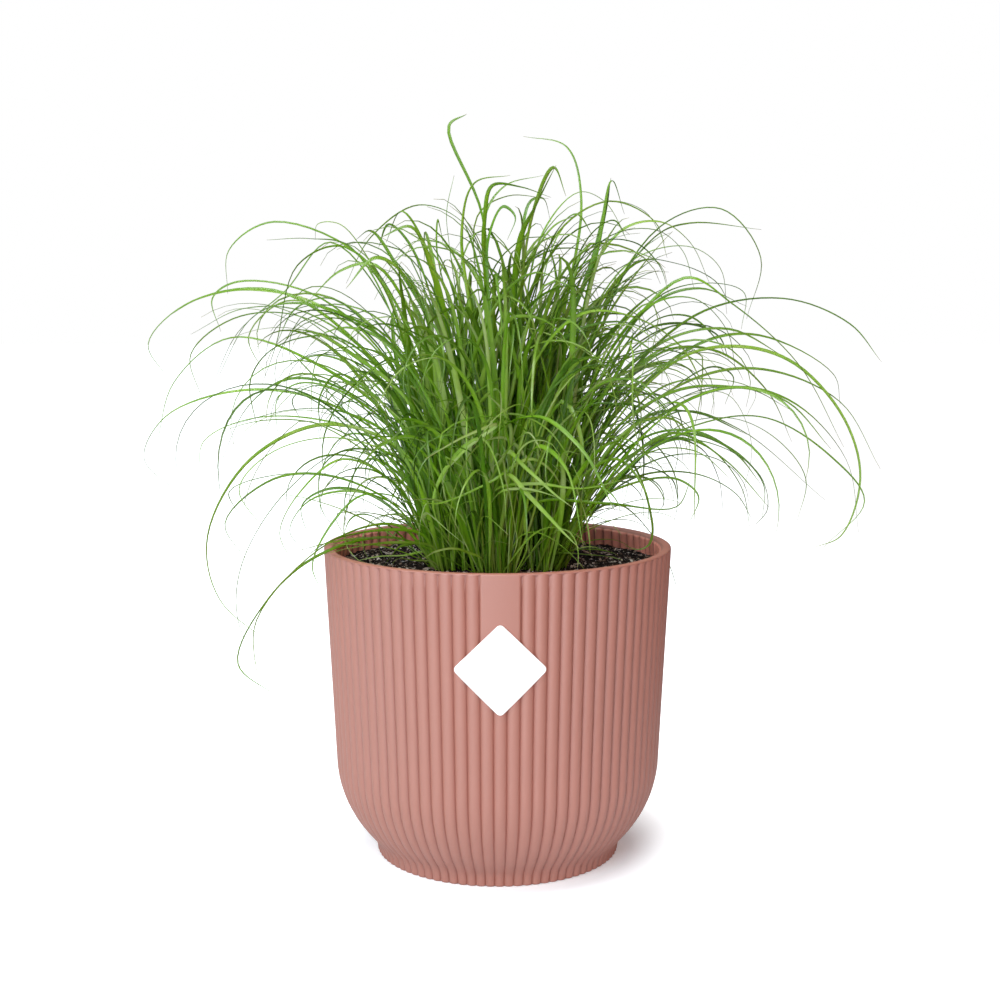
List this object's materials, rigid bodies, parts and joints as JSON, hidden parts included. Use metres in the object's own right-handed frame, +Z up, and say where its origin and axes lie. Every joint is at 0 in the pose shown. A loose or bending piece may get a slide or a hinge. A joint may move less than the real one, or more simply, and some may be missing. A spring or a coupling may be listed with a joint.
{
  "type": "potted umbrella sedge",
  "caption": "Young umbrella sedge, a bushy tuft of thin arching leaves, growing in a ribbed round pot with a blank diamond label.",
  "frame": {"origin": "middle of the pot's flat underside", "axes": "+Z up, -Y out of the pot's front, where the label is, +X to the right seen from the front"},
  "size_m": [0.3016, 0.283, 0.2961],
  "materials": {
    "pot_plastic": "matte dusty pink moulded plastic with fine upright ribs",
    "potting_soil": "dark crumbly potting soil with bark and pale specks",
    "label_film": "plain white satin film label, blank",
    "sedge_leaf": "satin fresh green leaf, paler at the base and darker inside the tuft"
  },
  "bodies": {
    "root": {"pot": "pot_plastic", "soil": "potting_soil", "label": "label_film", "sedge_shoot_1": "sedge_leaf", "sedge_shoot_2": "sedge_leaf", "sedge_shoot_3": "sedge_leaf", "sedge_shoot_4": "sedge_leaf", "sedge_shoot_5": "sedge_leaf", "sedge_shoot_6": "sedge_leaf", "sedge_shoot_7": "sedge_leaf"}
  },
  "joints": []
}
